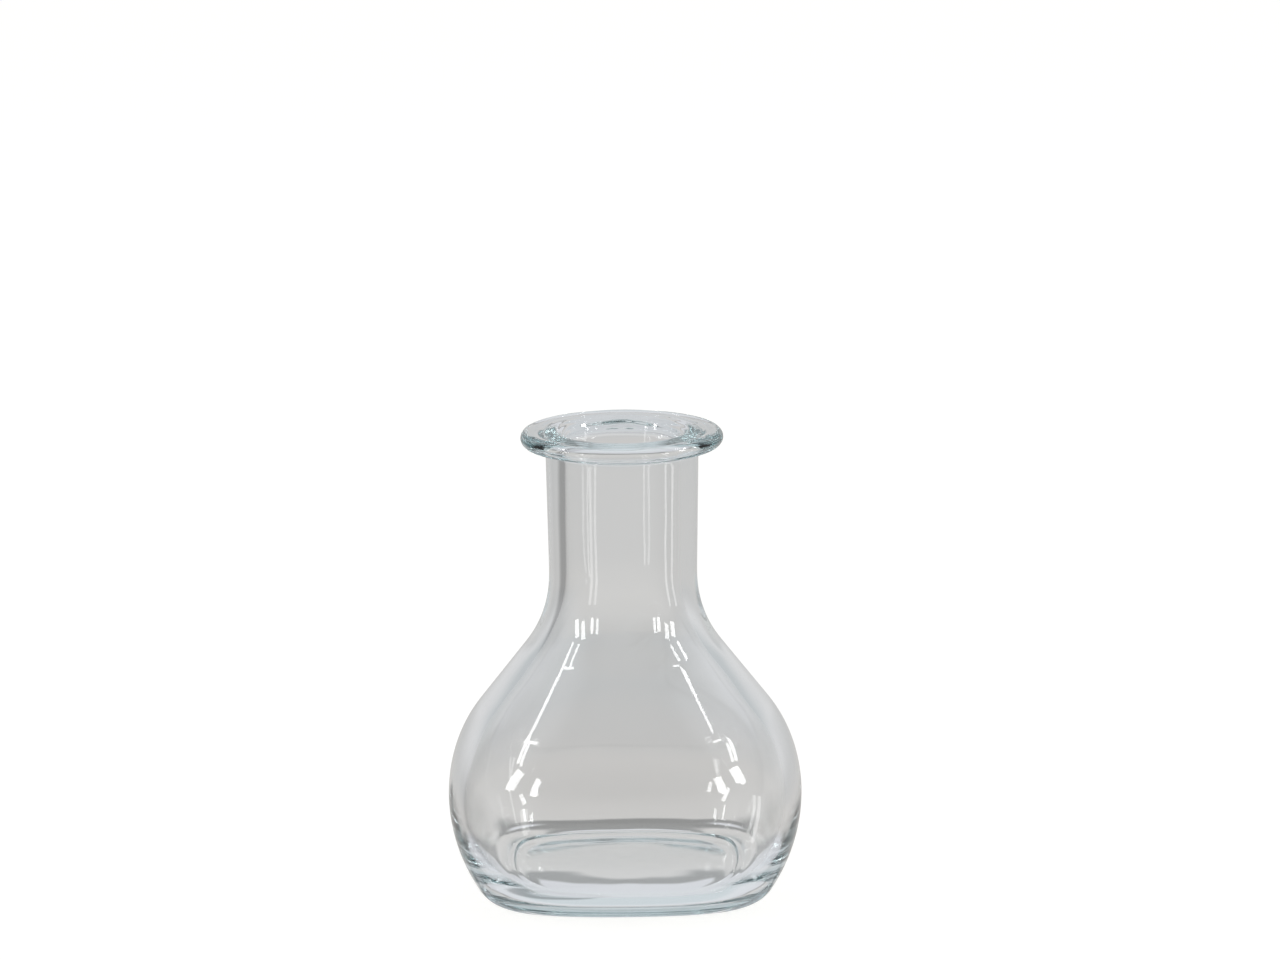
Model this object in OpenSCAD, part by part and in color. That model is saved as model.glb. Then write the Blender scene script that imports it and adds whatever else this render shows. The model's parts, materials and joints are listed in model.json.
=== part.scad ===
// Glass bud vase: a square-bellied bottle form with a round neck and a flat lip.
// Millimetres, +Z up. The origin is on the table, under the middle of the neck.

/* [Overall] */
// height from the table to the top of the lip
height = 105; // [87.5:0.5:130]
// width of the belly across its flat sides
belly_width = 80; // [66.5:0.5:96]
// height of the widest level
belly_level = 21.5; // [18:0.5:26]

/* [Neck] */
// radius of the round stem opening
bore_r = 13; // [10.8:0.1:15.6]
// glass thickness where the neck starts
neck_wall = 3.65; // [3:0.05:4.5]
// how much wider the neck's outside is under the lip than where it starts
neck_taper = 0.5; // [0:0.1:1]
// height where the shoulder's hollow curve ends in the neck
neck_level = 72; // [60:1:80]
// radius of the hollow curve between the shoulder and the neck
flare_radius = 27; // [22:0.5:32]
// length of the slope between the belly's curve and the hollow curve
slope_length = 19; // [15.5:0.5:23]

/* [Lip] */
// how far the lip stands out past the top of the neck
lip_overhang = 5.6; // [4.5:0.1:7]
// thickness of the lip, which has a full-round edge
lip_thickness = 3.6; // [3:0.1:4.4]
// size of the bevel that fills the corner under the lip
lip_bevel = 1.2; // [0.8:0.1:1.5]
// radius of the rounding from the lip's top into the stem opening
mouth_radius = 3; // [2.5:0.1:3.6]

/* [Body] */
// radius of the side's curve below the widest level
side_radius = 33.5; // [28:0.5:40]
// radius of the heel, where the side turns under
heel_radius = 6.2; // [5:0.1:7.5]
// glass thickness at the belly and the shoulder
wall = 3; // [2.5:0.1:3.6]
// glass thickness beside the inner floor
heel_wall = 6.1; // [5:0.1:7.3]
// glass thickness under the edge of the inner floor
base_thickness = 3.6; // [3:0.1:4.4]
// rise of the inner floor from its edge to its middle
floor_dome = 0.6; // [0.4:0.1:1]
// size of the rounding between the inner floor and the side
floor_rounding = 2.5; // [2:0.1:3]
// depth of the hollow under the foot
kick_up = 1; // [0.8:0.1:1.2]
// width of the flat ring that the vase stands on
foot_ring = 5; // [4:0.5:6]

/* [Plan] */
// radius of the belly's corners at its widest level, seen from above
belly_corner = 26.5; // [22:0.5:32]
// radius of the foot's corners
foot_corner = 12; // [9:0.5:16]
// radius of the inner floor's corners
floor_corner = 12; // [9.5:0.5:15]
// how much the four sides bow out between the corners, from 0 for flat
side_bow = 0.15; // [0.05:0.01:0.3]

/* [Hidden] */

$fn = 96;
// sides of every ring of the body, and steps along each curve of its outline
ring_sides = 56;
heel_steps = 5;
side_steps = 7;
shoulder_steps = 8;
flare_steps = 8;
rounding_steps = 4;
mouth_steps = 8;
kick_steps = 10;
// how far a cutting tool runs past the face it opens
cut_margin = 1;
// how slowly the corners round off above the belly, 1 for straight away
corner_lag = 1.3;
// degrees by which a squarish ring's points are drawn to its flats, so that its facets come out even
flat_spread = 8.5;
// how far the hollow stands outside the bore where the two meet, and how far the bore runs into it
hollow_step = 0.45;
bore_overlap = 4.5;

neck_r = bore_r + neck_wall;
neck_top_r = neck_r + neck_taper;
lip_r = neck_top_r + lip_overhang;
lip_level = height - lip_thickness;
hollow_width = belly_width - 2 * wall;

side_centre = [belly_width / 2 - side_radius, belly_level];
heel_rise = belly_level - heel_radius;
heel_reach = sqrt(pow(side_radius - heel_radius, 2) - pow(heel_rise, 2));
heel_centre = [side_centre.x + heel_reach, heel_radius];
heel_angle = -atan2(heel_rise, heel_reach);
foot_r = heel_centre.x;

// the shoulder's radius is what lets its slope touch both curves
flare_centre = [neck_r + flare_radius, neck_level];
flare_offset = flare_centre.x - belly_width / 2;
flare_rise = neck_level - belly_level;
span_squares = pow(flare_offset, 2) + pow(flare_rise, 2) - pow(flare_radius, 2) - pow(slope_length, 2);
shoulder_radius = span_squares / (2 * (flare_radius - flare_offset));
shoulder_centre = [belly_width / 2 - shoulder_radius, belly_level];

// the hollow's side is an arc from the inner floor's edge to its widest level
floor_rise = belly_level - base_thickness;
floor_half = side_centre.x + sqrt(pow(side_radius, 2) - pow(floor_rise, 2)) - heel_wall;
floor_draw = hollow_width / 2 - floor_half;
hollow_radius = (pow(floor_draw, 2) + pow(floor_rise, 2)) / (2 * floor_draw);
hollow_centre = [hollow_width / 2 - hollow_radius, belly_level];
rounding_angle = -asin((floor_rise - floor_rounding) / hollow_radius);

// the hollow stops just outside the bore, which carries on to the mouth
hollow_flare = flare_radius + neck_wall;
hollow_stop = acos(1 - hollow_step / hollow_flare);
hollow_top = neck_level - hollow_flare * sin(hollow_stop);

function mix(low, high, part) = low + (high - low) * part;

function ease(part) = part * part * (3 - 2 * part);

function limit(part) = max(0, min(1, part));

function spoke(radius, angle) = radius * [cos(angle), sin(angle)];

// points [half width, level] along a circular arc
function arc(centre, radius, start, end, steps) =
    [for (i = [0:steps]) centre + spoke(radius, mix(start, end, i / steps))];

// points of a rounded corner between two outline points
function rounding(start, corner, end, steps) =
    [for (i = [0:steps]) mix(mix(start, corner, i / steps), mix(corner, end, i / steps), i / steps)];

// the angle at which one straight slope leaves the shoulder's curve and meets the flare's
function slope_angle(belly_radius, neck_radius) =
    let (reach = flare_centre - shoulder_centre)
    atan2(reach.y, reach.x) - acos((belly_radius + neck_radius) / norm(reach));

function shoulder_curve(radius, flare, stop) =
    let (turn = slope_angle(radius, flare))
    concat(
        [for (i = [1:shoulder_steps]) arc(shoulder_centre, radius, 0, turn, shoulder_steps)[i]],
        arc(flare_centre, flare, turn - 180, stop - 180, flare_steps)
    );

// corner radius of the ring through an outline point: low_corner at low_level, belly at the widest
// level, and a full circle from the neck up
function corner(point, low_corner, low_level, belly, neck) =
    let (rise = limit((point.y - belly_level) / flare_rise))
    let (fall = limit((belly_level - point.y) / (belly_level - low_level)))
    point.y >= neck_level ? point.x
    : point.y > belly_level ? min(point.x, mix(belly, neck, ease(pow(rise, corner_lag))))
    : min(point.x, mix(belly, low_corner, pow(fall, 2)));

skin_outline = concat(
    arc(heel_centre, heel_radius, -90, heel_angle, heel_steps),
    [for (i = [1:side_steps]) arc(side_centre, side_radius, heel_angle, 0, side_steps)[i]],
    shoulder_curve(shoulder_radius, flare_radius, 0),
    [[neck_top_r, lip_level + lip_thickness / 2]]
);

floor_outline = [
    for (part = [1 / 3, 2 / 3])
        [part * floor_half, base_thickness + floor_dome * (1 - part * part)]
];
floor_edge = rounding(
    [floor_half - floor_rounding, base_thickness],
    [floor_half, base_thickness],
    arc(hollow_centre, hollow_radius, rounding_angle, 0, side_steps)[0],
    rounding_steps
);
hollow_outline = concat(
    floor_outline,
    floor_edge,
    [for (i = [1:side_steps]) arc(hollow_centre, hollow_radius, rounding_angle, 0, side_steps)[i]],
    shoulder_curve(shoulder_radius - wall, hollow_flare, hollow_stop),
    [[bore_r - cut_margin, hollow_top + cut_margin]]
);

skin_rings = [for (p = skin_outline) [p.x, p.y, corner(p, foot_corner, 0, belly_corner, neck_r)]];
hollow_rings = [
    for (p = hollow_outline)
        [p.x, p.y, corner(p, floor_corner, base_thickness, belly_corner - wall, bore_r)]
];

// the point of a ring [half width, level, corner radius] part of the way round it: two straights and a
// corner radius, each taken in the direction that the side faces there
function ring_point(ring, part) =
    let (spread = min(flat_spread, 26 * (1 - ring[2] / ring[0])))
    let (angle = 360 * part - spread * sin(4 * 360 * part))
    let (straight = (ring[0] - ring[2]) / (sqrt(1 + pow(side_bow, 2)) + side_bow))
    let (long = straight * (1 + pow(side_bow, 2)), short = straight * pow(side_bow, 2))
    let (along = sqrt(pow(cos(angle), 2) + pow(side_bow, 2)))
    let (across = sqrt(pow(sin(angle), 2) + pow(side_bow, 2)))
    [
        cos(angle) * (ring[2] + long / along + short / across),
        sin(angle) * (ring[2] + long / across + short / along),
        ring[1]
    ];

// a closed body through a stack of rings, with a middle point below and above
module ring_body(rings, floor_middle) {
    last = len(rings) - 1;
    top = 1 + len(rings) * ring_sides;
    points = concat(
        [[0, 0, floor_middle]],
        [for (ring = rings) for (i = [0:ring_sides - 1]) ring_point(ring, i / ring_sides)],
        [[0, 0, rings[last][1]]]
    );
    faces = concat(
        [for (i = [0:ring_sides - 1]) [0, 1 + i, 1 + (i + 1) % ring_sides]],
        [for (k = [0:last - 1]) for (i = [0:ring_sides - 1])
            let (low = 1 + k * ring_sides, next = (i + 1) % ring_sides)
            [low + i, low + ring_sides + i, low + next]],
        [for (k = [0:last - 1]) for (i = [0:ring_sides - 1])
            let (low = 1 + k * ring_sides, next = (i + 1) % ring_sides)
            [low + next, low + ring_sides + i, low + ring_sides + next]],
        [for (i = [0:ring_sides - 1])
            let (low = 1 + last * ring_sides)
            [top, low + (i + 1) % ring_sides, low + i]]
    );
    polyhedron(points, faces);
}

// the lip with its full-round edge, and the bevel under it running into the neck
module lip() {
    edge = lip_thickness / 2;
    bevel_foot = lip_level - lip_bevel - cut_margin;
    rotate_extrude()
        polygon(concat(
            [[0, bevel_foot], [neck_top_r - cut_margin, bevel_foot], [neck_top_r + lip_bevel, lip_level]],
            arc([lip_r - edge, lip_level + edge], edge, -90, 90, mouth_steps),
            [[0, height]]
        ));
}

// the round opening through the neck, widening at the mouth
module bore() {
    rotate_extrude()
        polygon(concat(
            [[0, hollow_top - bore_overlap], [bore_r, hollow_top - bore_overlap]],
            arc([bore_r + mouth_radius, height - mouth_radius], mouth_radius, 180, 90, mouth_steps),
            [[bore_r + mouth_radius, height + cut_margin], [0, height + cut_margin]]
        ));
}

// the shallow hollow under the foot
module foot_hollow() {
    hollow_r = foot_r - foot_ring;
    overrun = 1.04;
    rotate_extrude()
        polygon(concat(
            [for (i = [0:kick_steps])
                let (part = overrun * i / kick_steps)
                [part * hollow_r, kick_up * (1 - pow(part, 4))]],
            [[overrun * hollow_r, -cut_margin], [0, -cut_margin]]
        ));
}

module vase() {
    color("lightcyan")
        difference() {
            union() {
                ring_body(skin_rings, 0);
                lip();
            }
            ring_body(hollow_rings, base_thickness + floor_dome);
            bore();
            foot_hollow();
        }
}

vase();
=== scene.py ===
import json
import math

import bpy
import numpy as np
from mathutils import Matrix, Vector, noise


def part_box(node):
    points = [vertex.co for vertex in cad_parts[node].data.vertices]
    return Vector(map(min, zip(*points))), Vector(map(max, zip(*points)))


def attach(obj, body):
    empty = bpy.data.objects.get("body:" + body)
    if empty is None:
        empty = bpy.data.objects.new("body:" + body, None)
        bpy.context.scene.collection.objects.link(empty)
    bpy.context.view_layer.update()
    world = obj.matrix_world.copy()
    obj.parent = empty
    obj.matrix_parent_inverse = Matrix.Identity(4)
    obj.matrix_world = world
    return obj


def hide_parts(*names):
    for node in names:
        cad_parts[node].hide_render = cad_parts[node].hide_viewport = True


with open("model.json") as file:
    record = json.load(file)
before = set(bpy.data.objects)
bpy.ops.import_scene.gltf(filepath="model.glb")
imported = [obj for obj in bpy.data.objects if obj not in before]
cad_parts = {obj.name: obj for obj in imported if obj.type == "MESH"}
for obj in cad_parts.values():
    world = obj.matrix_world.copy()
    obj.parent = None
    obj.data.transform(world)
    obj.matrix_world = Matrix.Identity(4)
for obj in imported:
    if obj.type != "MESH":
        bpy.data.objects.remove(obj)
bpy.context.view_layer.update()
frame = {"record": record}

mm = 0.001
bodyLow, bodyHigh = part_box("vase")
stemOpening = next(m for m in frame["record"]["mounts"] if m["name"] == "stem_opening")


def linearColour(hexCode):
    # an sRGB hex colour such as "#95e6f3", as the linear values that nodes take
    channels = [int(hexCode[i:i + 2], 16) / 255 for i in (1, 3, 5)]
    return [c / 12.92 if c <= 0.04045 else ((c + 0.055) / 1.055) ** 2.4 for c in channels] + [1.0]


def addNode(tree, kind, values=None, links=None, **settings):
    node = tree.nodes.new(kind)
    for name, value in settings.items():
        setattr(node, name, value)
    for name, value in (values or {}).items():
        node.inputs[name].default_value = value
    for name, source in (links or {}).items():
        tree.links.new(source, node.inputs[name])
    return node


def newTree(owner):
    owner.use_nodes = True
    owner.node_tree.nodes.clear()
    return owner.node_tree


def addMeshObject(name, vertices, faces):
    mesh = bpy.data.meshes.new(name)
    mesh.from_pydata(vertices, [], faces)
    thing = bpy.data.objects.new(name, mesh)
    bpy.context.collection.objects.link(thing)
    return thing


def mix(low, high, part):
    return low + (high - low) * part


def ease(part):
    part = min(1.0, max(0.0, part))
    return part * part * (3 - 2 * part)


# the vase's own sizes in millimetres; its height, width and stem opening come from the frame
vaseShape = dict(
    bellyLevel=21.5,  # height of the widest level
    neckWall=3.65,
    neckTaper=0.5,  # how much wider the neck's outside is under the lip
    neckLevel=72.0,
    flareRadius=27.0,
    slopeLength=19.0,
    lipOverhang=5.6,
    lipThickness=3.6,
    lipFillet=1.6,  # rounding between the neck and the lip's underside
    mouthRadius=3.0,
    sideRadius=33.5,
    heelRadius=6.2,
    wall=3.0,
    heelWall=6.1,
    baseThickness=3.6,
    floorDome=0.6,
    floorRounding=2.5,
    pressMark=0.25,  # height and width of the ridge that the press left round the inner floor
    kickUp=1.0,
    footRing=5.0,
    bellyCorner=26.5,  # radii of the corners, seen from above
    footCorner=12.0,
    floorCorner=12.0,
    sideBow=0.15,  # how much the sides bow out between the corners
    cornerLag=1.3,  # how slowly the corners round off above the belly
    softening=2.5,  # how far the body's curves run into each other
    ringSides=192,
    kickPoints=30,  # points along the outline of the foot's hollow and of the inner floor
    floorPoints=34,
)


def arc(centre, radius, start, end, step=0.6):
    # points [half width, level] along a circular arc, about step apart, with the angles in degrees
    count = max(3, round(abs(math.radians(end - start)) * radius / step))
    angles = np.radians(np.linspace(start, end, count + 1))
    return np.column_stack([centre[0] + radius * np.cos(angles), centre[1] + radius * np.sin(angles)])


def line(start, end, step=0.8):
    count = max(1, round(math.dist(start, end) / step))
    return np.linspace(start, end, count + 1)


def rounding(start, corner, end, count=8):
    part = np.linspace(0, 1, count + 1)[:, None]
    start, corner, end = map(np.asarray, (start, corner, end))
    return mix(mix(start, corner, part), mix(corner, end, part), part)


sameSpot = 0.02  # outline points nearer than this, in millimetres, are one


def joined(*stretches):
    # one outline from several, without the doubled points where they meet
    points = np.vstack(stretches)
    keep = np.ones(len(points), bool)
    keep[1:] = np.linalg.norm(np.diff(points, axis=0), axis=1) > sameSpot
    return points[keep]


def softened(points, reach, step=0.8, fineStep=0.2):
    # the same outline with the jumps of curvature between its arcs eased over reach
    length = np.concatenate([[0], np.cumsum(np.linalg.norm(np.diff(points, axis=0), axis=1))])
    places = np.linspace(0, length[-1], max(4, round(length[-1] / fineStep)) + 1)
    even = np.column_stack([np.interp(places, length, points[:, k]) for k in (0, 1)])
    half = round(reach / fineStep)
    ends = np.vstack([2 * even[0] - even[half:0:-1], even, 2 * even[-1] - even[-2:-half - 2:-1]])
    kernel = np.hanning(2 * half + 3)[1:-1]
    kernel /= kernel.sum()
    for _ in range(2):
        smooth = np.column_stack([np.convolve(ends[:, k], kernel, "same") for k in (0, 1)])
        ends[half:-half] = smooth[half:-half]
    even = ends[half:-half]
    places = np.linspace(0, len(even) - 1, max(4, round(length[-1] / step)) + 1)
    return np.column_stack([np.interp(places, np.arange(len(even)), even[:, k]) for k in (0, 1)])


def vaseOutline(s):
    # the whole glass section: from the middle of the foot up the outside, over the lip, down the bore
    # and to the middle of the inner floor, as [half width, level, corner radius, surface]
    height = bodyHigh.z / mm
    bellyHalf = bodyHigh.x / mm
    boreR = stemOpening["dims"]["r_mm"]
    neckR = boreR + s["neckWall"]
    neckTopR = neckR + s["neckTaper"]
    lipR = neckTopR + s["lipOverhang"]
    level = s["bellyLevel"]

    sideCentre = (bellyHalf - s["sideRadius"], level)
    heelRise = level - s["heelRadius"]
    heelReach = math.sqrt((s["sideRadius"] - s["heelRadius"]) ** 2 - heelRise ** 2)
    footR = sideCentre[0] + heelReach
    heelAngle = -math.degrees(math.atan2(heelRise, heelReach))

    # the shoulder's radius is what lets its slope touch both curves
    flareCentre = (neckR + s["flareRadius"], s["neckLevel"])
    offset, rise = flareCentre[0] - bellyHalf, s["neckLevel"] - level
    spanSquares = offset ** 2 + rise ** 2 - s["flareRadius"] ** 2 - s["slopeLength"] ** 2
    shoulderRadius = spanSquares / (2 * (s["flareRadius"] - offset))
    shoulderCentre = (bellyHalf - shoulderRadius, level)

    def shoulder(belly, flare):
        reach = np.subtract(flareCentre, shoulderCentre)
        turn = math.degrees(math.atan2(reach[1], reach[0]) - math.acos((belly + flare) / np.hypot(*reach)))
        return joined(arc(shoulderCentre, belly, 0, turn), arc(flareCentre, flare, turn - 180, -180))

    floorRise = level - s["baseThickness"]
    floorHalf = sideCentre[0] + math.sqrt(s["sideRadius"] ** 2 - floorRise ** 2) - s["heelWall"]
    floorDraw = bellyHalf - s["wall"] - floorHalf
    hollowRadius = (floorDraw ** 2 + floorRise ** 2) / (2 * floorDraw)
    hollowCentre = (bellyHalf - s["wall"] - hollowRadius, level)
    roundingAngle = -math.degrees(math.asin((floorRise - s["floorRounding"]) / hollowRadius))

    edge = s["lipThickness"] / 2
    lipLow = height - s["lipThickness"]
    fillet = s["lipFillet"]
    crownR = boreR + s["mouthRadius"]
    outside = softened(joined(
        arc(sideCentre, s["sideRadius"], heelAngle, 0),
        shoulder(shoulderRadius, s["flareRadius"]),
        line((neckR, s["neckLevel"]), (neckTopR, lipLow - fillet)),
    ), s["softening"])
    inside = softened(joined(
        line((boreR, height - s["mouthRadius"]), (boreR, s["neckLevel"])),
        shoulder(shoulderRadius - s["wall"], s["flareRadius"] + s["neckWall"])[::-1],
        arc(hollowCentre, hollowRadius, 0, roundingAngle),
    ), s["softening"])
    mark = s["pressMark"]
    kickR = footR - s["footRing"]
    part = np.linspace(0, 1, s["kickPoints"])[:, None]
    kick = np.hstack([part * kickR, s["kickUp"] * (1 - part ** 4)])
    part = np.linspace(1, 0, s["floorPoints"])[:, None]
    floor = np.hstack([
        part * (floorHalf - s["floorRounding"]),
        s["baseThickness"] + s["floorDome"] * (1 - part ** 2),
    ])
    stretches = [
        ("foot", kick),
        ("foot", line((kickR, 0), (footR, 0))),
        ("skin", arc((footR, s["heelRadius"]), s["heelRadius"], -90, heelAngle, 0.5)),
        ("skin", outside),
        ("lip", arc((neckTopR + fillet, lipLow - fillet), fillet, 180, 90, 0.3)),
        ("lip", line((neckTopR + fillet, lipLow), (lipR - edge, lipLow), 0.4)),
        ("lip", arc((lipR - edge, lipLow + edge), edge, -90, 90, 0.25)),
        ("lip", line((lipR - edge, height), (crownR, height), 0.4)),
        ("mouth", arc((crownR, height - s["mouthRadius"]), s["mouthRadius"], 90, 180, 0.3)),
        ("hollow", inside),
        ("floor", rounding(inside[-1], (floorHalf, s["baseThickness"]), floor[0] + (3 * mark, mark))),
        ("floor", line(floor[0] + (mark, mark), floor[0], 0.12)),
        ("floor", floor),
    ]

    def corner(surface, width, z):
        # radius of the section's corners at an outline point, seen from above
        inner = surface in ("hollow", "floor")
        belly = s["bellyCorner"] - (s["wall"] if inner else 0)
        neck = boreR if inner else neckR
        if surface == "foot":
            return min(width, mix(width, s["footCorner"], ease((width / footR - 0.5) * 2)))
        if z >= s["neckLevel"]:
            return width
        if z > level:
            return min(width, mix(belly, neck, ease(((z - level) / rise) ** s["cornerLag"])))
        lowest, lowestLevel = (s["floorCorner"], s["baseThickness"]) if inner else (s["footCorner"], 0)
        inset = min(1, width / (floorHalf - s["floorRounding"])) if surface == "floor" else 1
        return mix(belly, lowest, min(1, (level - z) / (level - lowestLevel)) ** 2) * inset

    outline = []
    for surface, points in stretches:
        for width, z in points:
            if not outline or math.dist(outline[-1][:2], (width, z)) > sameSpot:
                outline.append((width, z, corner(surface, width, z), surface))
    return outline


# depth and size of the unevenness that blowing and pressing leave, in millimetres
glassWaves = dict(
    skin=(0.02, 24.0),
    hollow=(0.05, 16.0),
    floor=(0.05, 12.0),
    mouth=(0.12, 5.0),
    lip=(0.015, 14.0),
    foot=(0.03, 12.0),
    finer=(0.4, 0.45),  # a second, finer wave, as shares of each depth and size
    drawLines=(0.03, 3.5),  # upright lines inside the neck, where the glass was drawn
    drawStretch=12,  # how much longer than wide they are
    drawLevels=(45, 60),  # between these levels they come in
    toolRings=(0.035, 1.7),  # rings that the finishing tool left on the lip and in the mouth
    toolDrift=(5, 14.0),  # how far they wander, in radians, and over what size
    lipCrown=0.4,  # how far below its very top the lip still has them
    seeds=dict(coarse=11.0, fine=6.0, lines=20.0, rings=30.0),
)


def wave(point, size, shift):
    return noise.noise(Vector(point) / size + Vector((shift, 2.3 * shift, -shift)))


def ringPoints(width, z, corner, bow, sides, mostSpread=8.5, spreadRate=26):
    # an arc and two straights, each taken in the direction that the side faces, with the directions drawn
    # to the flats, by up to mostSpread degrees, so that the points come out even
    turn = 2 * math.pi * np.arange(sides) / sides
    spread = math.radians(min(mostSpread, spreadRate * (1 - corner / width)))
    facing = turn - spread * np.sin(4 * turn)
    out = np.column_stack([np.cos(facing), np.sin(facing)])
    straight = (width - corner) / (math.hypot(1, bow) + bow)
    spans = np.sqrt(out ** 2 + bow ** 2)
    points = out * (corner + straight * ((1 + bow ** 2) / spans + bow ** 2 / spans[:, ::-1]))
    return np.column_stack([points, np.full(sides, z)])


def blended(values, reach=6):
    # a value for each ring averaged with its neighbours', so that no surface starts with a step
    count = 2 * reach + 1
    return np.convolve(np.pad(values, reach, "edge"), np.ones(count) / count, "valid")


def waved(points, rings):
    # the same rings of points, each pushed in or out a little along the glass's own direction
    around = np.roll(points, -1, 1) - np.roll(points, 1, 1)
    normals = np.cross(around, np.gradient(points, axis=0))
    normals /= np.linalg.norm(normals, axis=2, keepdims=True)
    w = glassWaves
    seeds = w["seeds"]
    fineDepth, fineSize = w["finer"]
    lineDepth, lineSize = w["drawLines"]
    lineLow, lineHigh = w["drawLevels"]
    ringDepth, ringPitch = w["toolRings"]
    drift, driftSize = w["toolDrift"]
    crown = bodyHigh.z / mm - w["lipCrown"]
    finished = blended(np.array([1.0 * (surface == "mouth" or z > crown) for _, z, _, surface in rings]))
    depths = blended(np.array([w[surface][0] for *_, surface in rings]))
    travel = np.concatenate([[0], np.cumsum([math.dist(a[:2], b[:2]) for a, b in zip(rings, rings[1:])])])
    for k, (_, z, _, surface) in enumerate(rings):
        size = w[surface][1]
        lines = lineDepth * ease((z - lineLow) / (lineHigh - lineLow)) if surface == "hollow" else 0
        for i, (x, y, _) in enumerate(points[k].tolist()):
            coarse = wave((x, y, z), size, seeds["coarse"])
            push = depths[k] * (coarse + fineDepth * wave((x, y, z), size * fineSize, seeds["fine"]))
            if lines:
                push += lines * wave((x, y, z / w["drawStretch"]), lineSize, seeds["lines"])
            if finished[k]:
                wander = drift * wave((x, y, z), driftSize, seeds["rings"])
                push += finished[k] * ringDepth * math.sin(2 * math.pi * travel[k] / ringPitch + wander)
            points[k, i] += push * normals[k, i]
    return points


def makeVase(s):
    # one closed mesh through the outline's rings, with a middle point at each end
    sides = s["ringSides"]
    first, *rings, last = vaseOutline(s)
    points = np.array([ringPoints(*ring[:3], s["sideBow"], sides) for ring in rings])
    points = waved(points, rings)
    vertices = np.vstack([[[0, 0, first[1]]], points.reshape(-1, 3), [[0, 0, last[1]]]]) * mm
    top = len(vertices) - 1
    low = top - sides
    faces = [(0, 1 + (i + 1) % sides, 1 + i) for i in range(sides)]
    faces += [(top, low + i, low + (i + 1) % sides) for i in range(sides)]
    for start in range(1, low, sides):
        for i in range(sides):
            j = (i + 1) % sides
            faces.append((start + i, start + j, start + sides + j, start + sides + i))
    body = addMeshObject("glassVase", vertices.tolist(), faces)
    body.data.shade_smooth()
    return body


sodaLime = dict(
    ior=1.52,
    iron="#84cad0",  # the tint that the iron in the glass gives, seen through a great depth
    ironPerMetre=4.0,
    haze=0.02,  # roughness of the dullest patches, and their size in millimetres
    hazeSize=18.0,
    hazeFrom=0.4,  # levels of the patches' noise where the dullness starts and is full
    hazeFull=0.75,
    peelSize=7.0,  # size and depth in millimetres of the fire-polished skin's faint orange peel
    peelDepth=0.006,
)


def makeSodaLimeGlass(look):
    # Soda-lime glass, blown and fire-polished: clear and hard-edged in its reflections, with the
    # blue-green of its iron showing only where the glass is thick.
    material = bpy.data.materials.new("blownSodaLimeGlass")
    tree = newTree(material)
    place = addNode(tree, "ShaderNodeTexCoord").outputs["Object"]
    patches = addNode(
        tree, "ShaderNodeTexNoise", {"Scale": 1 / (look["hazeSize"] * mm), "Detail": 3.0}, {"Vector": place},
    )
    roughness = addNode(
        tree, "ShaderNodeMapRange",
        {"From Min": look["hazeFrom"], "From Max": look["hazeFull"], "To Max": look["haze"]},
        {"Value": patches.outputs[0]},
    )
    peel = addNode(
        tree, "ShaderNodeTexNoise",
        {"Scale": 1 / (look["peelSize"] * mm), "Detail": 1.0, "Roughness": 0.4}, {"Vector": place},
    )
    bump = addNode(
        tree, "ShaderNodeBump", {"Strength": 1.0, "Distance": look["peelDepth"] * mm},
        {"Height": peel.outputs[0]},
    )
    surface = addNode(
        tree, "ShaderNodeBsdfPrincipled",
        {"Base Color": linearColour("#ffffff"), "Transmission Weight": 1.0, "IOR": look["ior"]},
        {"Roughness": roughness.outputs[0], "Normal": bump.outputs[0]},
    )
    depth = addNode(
        tree, "ShaderNodeVolumeAbsorption",
        {"Color": linearColour(look["iron"]), "Density": look["ironPerMetre"]},
    )
    addNode(
        tree, "ShaderNodeOutputMaterial",
        links={"Surface": surface.outputs[0], "Volume": depth.outputs[0]},
    )
    return material


vase = makeVase(vaseShape)
vase.data.materials.append(makeSodaLimeGlass(sodaLime))
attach(vase, "root")
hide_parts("vase")
print("vase:", len(vase.data.polygons), "faces")


# the room as the glass sees it; elevations are in degrees above level, and directions in degrees to the
# right of straight behind
studio = dict(
    paper="#f6f6f4",  # the floor's own light, which keeps it white round the vase
    paperGlow=0.98,
    paperShade="#8c8c8c",  # what it gives back of the light that falls on it
    floorHalf=4.2,  # half the floor's side, and the size of the white surround, in metres
    surroundRadius=4.0,
    surroundHeight=4.0,
    surroundGlow=1.1,
    behind=[
        (-90, "#d2dade"), (-60, "#d2dade"), (-48, "#e3e6ea"), (-29, "#dedfe4"), (-23, "#d5d3d1"),
        (-15, "#d2d0ce"), (-12, "#cccbca"), (-9, "#c9c9c9"), (1, "#dcdcdd"), (14, "#c3c7c9"),
        (28, "#cfd2d6"), (50, "#d2d4d7"), (90, "#dadcde"),
    ],
    inFront=[
        (-90, "#d2dade"), (-50, "#d8dcdf"), (-10, "#d6d6d6"), (6, "#c2c2c2"), (24, "#5a5c5e"),
        (38, "#222324"), (90, "#222324"),
    ],
    strengths=[  # of the light behind
        (-180, 0.6), (-95, 0.85), (-70, 0.75), (-62, 0.5), (-50, 0.5), (-36, 0.97), (36, 0.97), (60, 0.98),
        (95, 0.8), (180, 0.6),
    ],
    shares=[(-180, 1), (-130, 1), (-95, 0), (95, 0), (130, 1), (180, 1)],  # of the light in front
    paintedShadowLine="#8f8f8e",  # painted shade: a darker bar behind and below, standing in for the shadow line where the table meets the backdrop, which draws the inner floor's edges
    paintedShadowLineTurns=[(-40, 0), (-24, 1), (24, 1), (40, 0)],
    paintedShadowLineHeights=[(-29, "#000000"), (-27.4, "#ffffff"), (-25.3, "#ffffff"), (-23, "#000000")],
)


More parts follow.
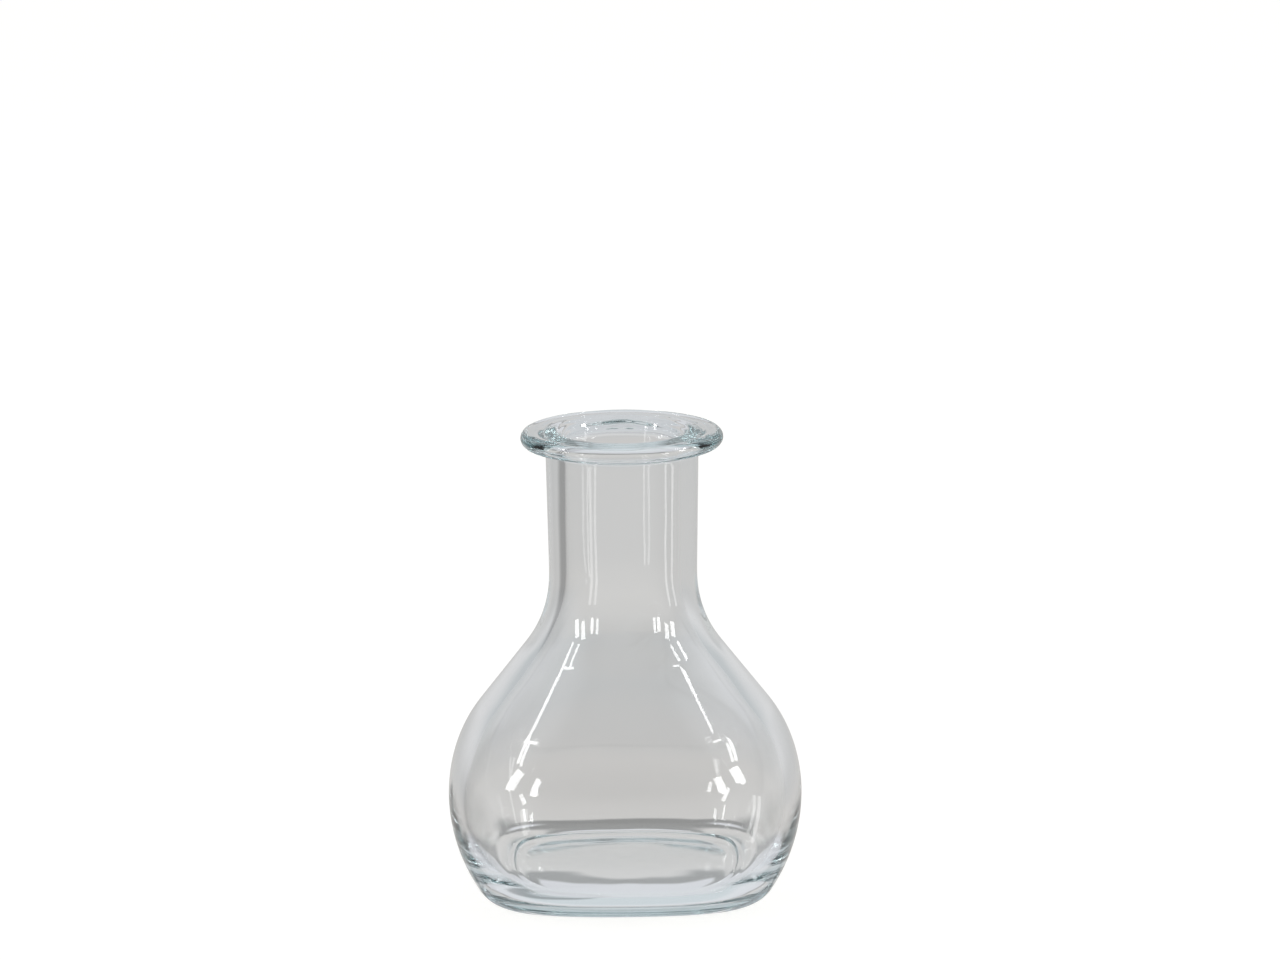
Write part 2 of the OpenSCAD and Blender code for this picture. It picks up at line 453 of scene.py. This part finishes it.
def makePaperFloor(look):
    # White paper, uncoated: flat and without gloss, and bright enough to lose its far edge.
    half = look["floorHalf"]
    corners = [(-half, -half, 0), (half, -half, 0), (half, half, 0), (-half, half, 0)]
    floor = addMeshObject("paperFloor", corners, [(0, 1, 2, 3)])
    material = bpy.data.materials.new("uncoatedWhitePaper")
    tree = newTree(material)
    dull = addNode(tree, "ShaderNodeBsdfDiffuse", {"Color": linearColour(look["paperShade"])})
    glow = addNode(
        tree, "ShaderNodeEmission",
        {"Color": linearColour(look["paper"]), "Strength": look["paperGlow"]},
    )
    both = addNode(tree, "ShaderNodeAddShader", links={0: dull.outputs[0], 1: glow.outputs[0]})
    addNode(tree, "ShaderNodeOutputMaterial", links={"Surface": both.outputs[0]})
    floor.data.materials.append(material)
    floor.visible_transmission = False  # the glass shows the room's own light instead
    floor.visible_glossy = False


def makeWhiteSurround(look, sides=48, sink=0.01):
    # white above the floor's far edge, for the camera only
    radius, height = look["surroundRadius"], look["surroundHeight"]
    turns = [2 * math.pi * i / sides for i in range(sides)]
    ring = [(radius * math.cos(a), radius * math.sin(a)) for a in turns]
    vertices = [(x, y, -sink) for x, y in ring] + [(x, y, height) for x, y in ring]
    faces = [(i, (i + 1) % sides, sides + (i + 1) % sides, sides + i) for i in range(sides)]
    surround = addMeshObject("whiteSurround", vertices, faces)
    material = bpy.data.materials.new("litWhiteBackdrop")
    tree = newTree(material)
    glow = addNode(tree, "ShaderNodeEmission", {"Strength": look["surroundGlow"]})
    addNode(tree, "ShaderNodeOutputMaterial", links={"Surface": glow.outputs[0]})
    surround.data.materials.append(material)
    for kind in ("diffuse", "glossy", "transmission", "shadow", "volume_scatter"):
        setattr(surround, "visible_" + kind, False)


def rampNode(tree, source, stops):
    # a colour ramp through [place from 0 to 1, linear colour] stops
    node = addNode(tree, "ShaderNodeValToRGB", links={"Fac": source})
    ramp = node.color_ramp
    ramp.interpolation = "EASE"
    while len(ramp.elements) < len(stops):
        ramp.elements.new(0.5)
    for element, (place, colour) in zip(ramp.elements, stops):
        element.position = place
        element.color = colour
    return node.outputs[0]


def makeRoom(look):
    world = bpy.data.worlds.new("studioRoom")
    bpy.context.scene.world = world
    tree = newTree(world)
    place = addNode(tree, "ShaderNodeTexCoord").outputs["Generated"]
    apart = addNode(tree, "ShaderNodeSeparateXYZ", links={"Vector": place}).outputs
    turn = addNode(tree, "ShaderNodeMath", links={0: apart["X"], 1: apart["Y"]}, operation="ARCTAN2")
    around = addNode(
        tree, "ShaderNodeMapRange", {"From Min": -math.pi, "From Max": math.pi}, {"Value": turn.outputs[0]},
    )
    upward = addNode(
        tree, "ShaderNodeMapRange", {"From Min": -1.0, "From Max": 1.0}, {"Value": apart["Z"]},
    )

    def byTurn(stops):
        greys = [((angle + 180) / 360, (value, value, value, 1)) for angle, value in stops]
        return rampNode(tree, around.outputs[0], greys)

    def byHeight(stops):
        places = [(0.5 + 0.5 * math.sin(math.radians(angle)), linearColour(c)) for angle, c in stops]
        return rampNode(tree, upward.outputs[0], places)

    behind = addNode(
        tree, "ShaderNodeMix", {0: 1.0}, {6: byTurn(look["strengths"]), 7: byHeight(look["behind"])},
        data_type="RGBA", blend_type="MULTIPLY",
    )
    light = addNode(
        tree, "ShaderNodeMix",
        links={0: byTurn(look["shares"]), 6: behind.outputs[2], 7: byHeight(look["inFront"])},
        data_type="RGBA",
    )
    # painted shade: the room's light is darkened in a bar behind and below, standing in for the shadow line
    # where the table meets the backdrop
    paintedShadowBar = addNode(
        tree, "ShaderNodeMath",
        links={0: byTurn(look["paintedShadowLineTurns"]), 1: byHeight(look["paintedShadowLineHeights"])}, operation="MULTIPLY",
    )
    withPaintedShadowLine = addNode(
        tree, "ShaderNodeMix", {7: linearColour(look["paintedShadowLine"])}, {0: paintedShadowBar.outputs[0], 6: light.outputs[2]},
        data_type="RGBA",
    )
    background = addNode(tree, "ShaderNodeBackground", links={"Color": withPaintedShadowLine.outputs[2]})
    addNode(tree, "ShaderNodeOutputWorld", links={"Surface": background.outputs[0]})


# each strip of light as the vase sees it: its two ends as [azimuth, elevation] with the azimuth from the
# camera's side and + to the right, its width in degrees, and its brightness against white paper's
softboxes = {
    "leftOuterBox": dict(ends=[(-71.5, 13.5), (-68.5, 30)], width=5.5, brightness=10),
    "leftInnerBox": dict(ends=[(-46.5, 14), (-46, 28)], width=4, brightness=10),
    "leftHighStrip": dict(ends=[(-83, 51.5), (-99, 45)], width=2, brightness=10),
    "leftMiddleStrip": dict(ends=[(-91, 48.5), (-75, 33)], width=2.6, brightness=10),
    "leftLowStrip": dict(ends=[(-52, 2), (-49, -18)], width=4, brightness=3),
    "rightInnerBox": dict(ends=[(52, 13.5), (52, 27)], width=5, brightness=10),
    "rightOuterBox": dict(ends=[(74, 16), (74, 29)], width=6.5, brightness=10),
    "rightHighStrip": dict(ends=[(82, 50.5), (94, 47.5)], width=1.5, brightness=10),
    "rightMiddleStrip": dict(ends=[(94, 43), (80, 32)], width=3, brightness=10),
    "rightLowStrip": dict(ends=[(86, 3), (78, -24)], width=4, brightness=3),
}


def addSoftbox(name, ends, width, brightness, distance=1.1):
    start, end = [
        distance * Vector((
            math.sin(math.radians(turn)) * math.cos(math.radians(up)),
            -math.cos(math.radians(turn)) * math.cos(math.radians(up)),
            math.sin(math.radians(up)),
        ))
        for turn, up in ends
    ]
    light = bpy.data.lights.new(name, "AREA")
    light.shape = "RECTANGLE"
    light.size = 2 * distance * math.tan(math.radians(width / 2))
    light.size_y = (end - start).length
    light.energy = brightness * math.pi * light.size * light.size_y
    lamp = bpy.data.objects.new(name, light)
    back = (start + end).normalized()  # an area light shines along its own -Z, with its length along Y
    along = (end - start).normalized()
    lamp.matrix_world = Matrix.Translation((bodyLow + bodyHigh) / 2 + (start + end) / 2) @ Matrix([
        along.cross(back), along, back,
    ]).transposed().to_4x4()
    lamp.visible_camera = False
    bpy.context.collection.objects.link(lamp)


makePaperFloor(studio)
makeWhiteSurround(studio)
makeRoom(studio)
for name, strip in softboxes.items():
    addSoftbox(name, **strip)
print("studio:", len(softboxes), "softboxes")

# distance in metres from the vase's middle and angles in degrees
view = dict(
    distance=1.5,
    elevation=13.93,
    lookDown=12.41,  # less than the elevation, so that the vase stands low in the frame
    lookAside=0.157,
    lean=-0.522,
    lens=186.8,  # in millimetres, for a sensor of this width
    sensor=36,
)


def makeCamera(view):
    up = math.radians(view["elevation"])
    middle = (bodyLow + bodyHigh) / 2
    data = bpy.data.cameras.new("camera")
    data.lens, data.sensor_width = view["lens"], view["sensor"]
    data.clip_start, data.clip_end = 0.05, 60
    camera = bpy.data.objects.new("camera", data)
    camera.location = middle + view["distance"] * Vector((0, -math.cos(up), math.sin(up)))
    aim = Matrix.Rotation(-math.radians(view["lookAside"]), 4, "Z")
    aim = aim @ Matrix.Rotation(math.radians(90 - view["lookDown"]), 4, "X")
    aim = aim @ Matrix.Rotation(math.radians(view["lean"]), 4, "Z")
    camera.rotation_euler = aim.to_euler()
    bpy.context.collection.objects.link(camera)
    bpy.context.scene.camera = camera


makeCamera(view)
print("camera:", view["distance"], "m away")

bounces = 32  # enough for light that runs round inside the thick base
scene = bpy.context.scene
scene.view_settings.view_transform = "Standard"
for kind in ("max", "transmission", "glossy"):
    setattr(scene.cycles, kind + "_bounces", bounces)
